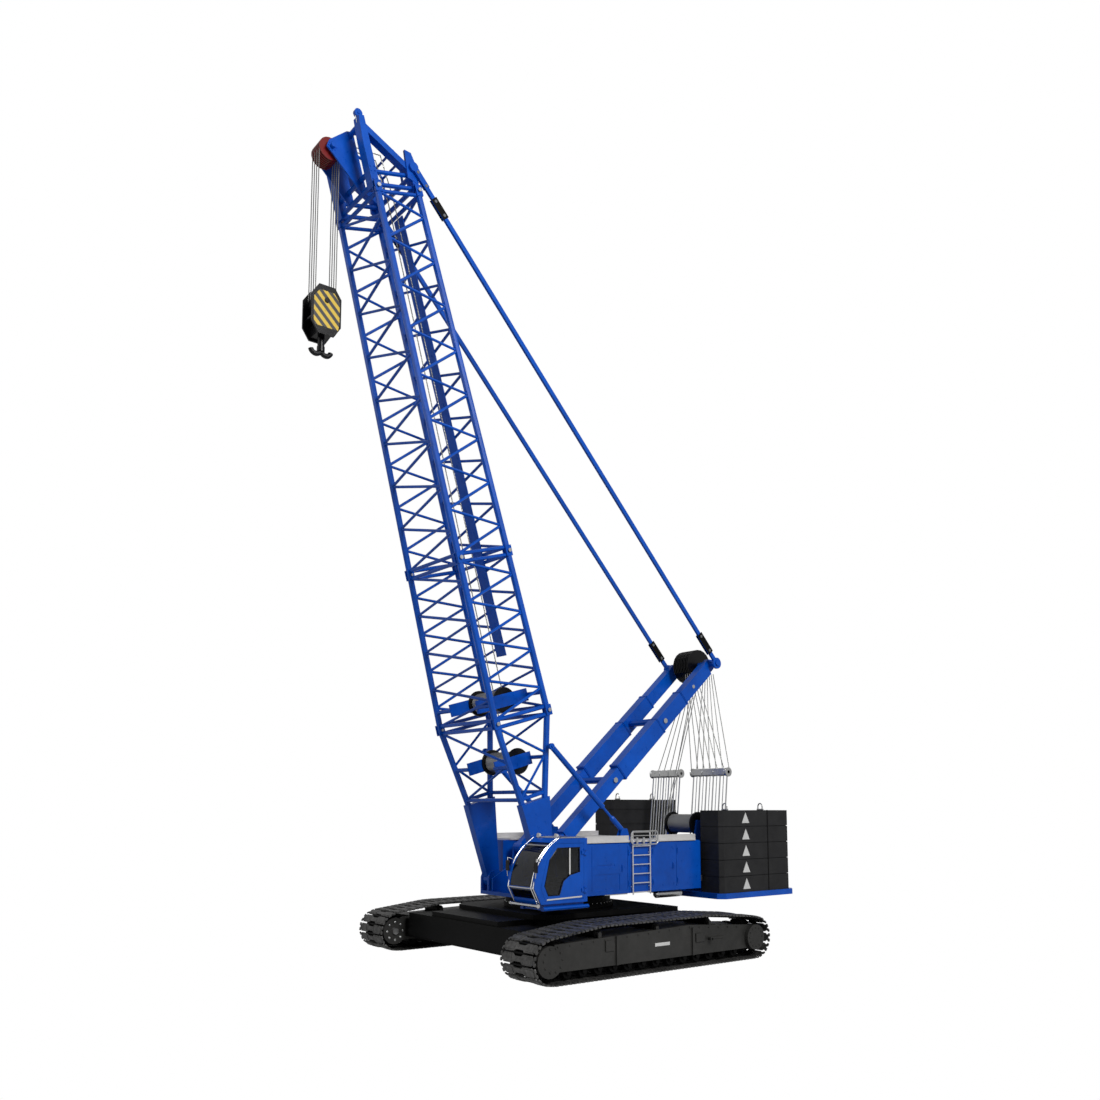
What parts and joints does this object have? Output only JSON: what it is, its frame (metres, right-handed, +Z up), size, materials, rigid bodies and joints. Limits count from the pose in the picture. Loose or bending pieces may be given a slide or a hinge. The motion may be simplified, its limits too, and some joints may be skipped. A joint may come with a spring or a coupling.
{
  "type": "crawler crane",
  "caption": "Crawler crane with a lattice boom held by pendants and a mast, slewing house, stacked counterweights and a double hook on a sheave block.",
  "frame": {"origin": "on the ground under the slewing axis", "axes": "+Z up along the slewing axis, -Y ahead where the boom points, +X to the crane's left, where the cab is"},
  "size_m": [10.22, 18.0517, 26.2499],
  "materials": {
    "blue_paint": "glossy royal blue paint",
    "dark_frame": "satin near-black paint",
    "track_steel": "dark cast steel",
    "dark_weight": "dark grey painted casting",
    "cast_engine": "grey painted casting",
    "pale_tread": "pale tread plate",
    "black_drum": "black paint",
    "red_sheave": "red painted sheaves",
    "steel_rod": "bright steel",
    "grey_tube": "grey paint",
    "cab_pane": "tinted glass",
    "seat_cloth": "dark cloth"
  },
  "bodies": {
    "undercarriage": {"carbody": "dark_frame", "track_left": "track_steel", "track_right": "track_steel", "track_frame_left": "dark_frame", "track_frame_right": "dark_frame", "idlers": "dark_frame", "sprockets": "dark_frame", "rollers": "dark_frame", "slewing_ring_lower": "dark_frame"},
    "upperworks": {"slewing_ring_upper": "dark_frame", "turntable_frame": "blue_paint", "house_left": "blue_paint", "house_right": "blue_paint", "engine": "cast_engine", "walkways": "pale_tread", "ladder": "pale_tread", "counterweight_left": "dark_weight", "counterweight_right": "dark_weight", "counterweight_tray": "blue_paint", "luffing_winch": "black_drum", "luffing_winch_stand": "blue_paint", "backstop_brackets": "blue_paint", "cab_shell": "blue_paint", "cab_glass": "cab_pane", "cab_seat": "seat_cloth", "cab_mount": "blue_paint"},
    "door": {"cab_door": "blue_paint", "cab_door_glass": "cab_pane"},
    "boom": {"boom_foot_section": "blue_paint", "boom_middle_section": "blue_paint", "boom_upper_section": "blue_paint", "boom_head": "blue_paint", "boom_head_sheaves": "red_sheave", "boom_catwalk": "blue_paint", "winch_low": "black_drum", "winch_high": "black_drum"},
    "mast": {"mast": "blue_paint", "mast_head_sheaves": "black_drum"},
    "pendants": {"pendants": "blue_paint"},
    "tackle_links": {"tackle_links": "steel_rod"},
    "backstop_tubes": {"backstop_tubes": "grey_tube"},
    "backstop_rods": {"backstop_rods": "steel_rod"},
    "hook_tackle": {"hoist_ropes": "steel_rod", "hook_block": "black_drum", "hook_sheaves": "black_drum"},
    "hook": {"hook": "black_drum"}
  },
  "joints": [
    {"name": "slewing", "type": "hinge", "parent": "undercarriage", "child": "upperworks", "pos_m": [0, 0, 1.74], "axis": [0, 0, 1], "continuous": true},
    {"name": "boom_luff", "type": "hinge", "parent": "upperworks", "child": "boom", "pos_m": [0, -1.68, 2.45], "axis": [-1, 0, 0], "range_deg": [-28, 8]},
    {"name": "mast_luff", "type": "hinge", "parent": "upperworks", "child": "mast", "pos_m": [0, -0.95, 3.5], "axis": [-1, 0, 0], "range_deg": [-31.43, 9]},
    {"name": "pendant_swing", "type": "hinge", "parent": "mast", "child": "pendants", "pos_m": [0, 6.7, 10.35], "axis": [-1, 0, 0], "range_deg": [-0.98, 3.37]},
    {"name": "tackle_swing", "type": "hinge", "parent": "upperworks", "child": "tackle_links", "pos_m": [0, 5.95, 3.26], "axis": [-1, 0, 0], "range_deg": [-28.75, 8.23]},
    {"name": "backstop_swing", "type": "hinge", "parent": "boom", "child": "backstop_tubes", "pos_m": [0, -1.75808, 6.84276], "axis": [-1, 0, 0], "range_deg": [-2.59, 9]},
    {"name": "backstop_slide", "type": "slide", "parent": "backstop_tubes", "child": "backstop_rods", "axis": [0, -0.7432, 0.669], "range_m": [-1.4893, 0.4259]},
    {"name": "tackle_plumb", "type": "hinge", "parent": "boom", "child": "hook_tackle", "pos_m": [0, -9.19668, 25.16338], "axis": [-1, 0, 0], "range_deg": [-8.02, 28.02]},
    {"name": "hook_swivel", "type": "hinge", "parent": "hook_tackle", "child": "hook", "pos_m": [0, -9.19668, 19.4], "axis": [0, 0, 1], "continuous": true},
    {"name": "cab_door_hinge", "type": "hinge", "parent": "upperworks", "child": "door", "pos_m": [3.262, -1.532, 2.96], "axis": [0, 0, 1], "range_deg": [0, 90]}
  ],
  "couplings": [
    {"joint": "mast_luff", "follows": "boom_luff", "ratio": 1.1219},
    {"joint": "pendant_swing", "follows": "boom_luff", "ratio": -0.1195},
    {"joint": "tackle_swing", "follows": "boom_luff", "ratio": 1.026},
    {"joint": "backstop_swing", "follows": "boom_luff", "ratio": -0.3207},
    {"joint": "backstop_slide", "follows": "boom_luff", "m_per_rad": 3.0466},
    {"joint": "tackle_plumb", "follows": "boom_luff", "ratio": -1}
  ]
}
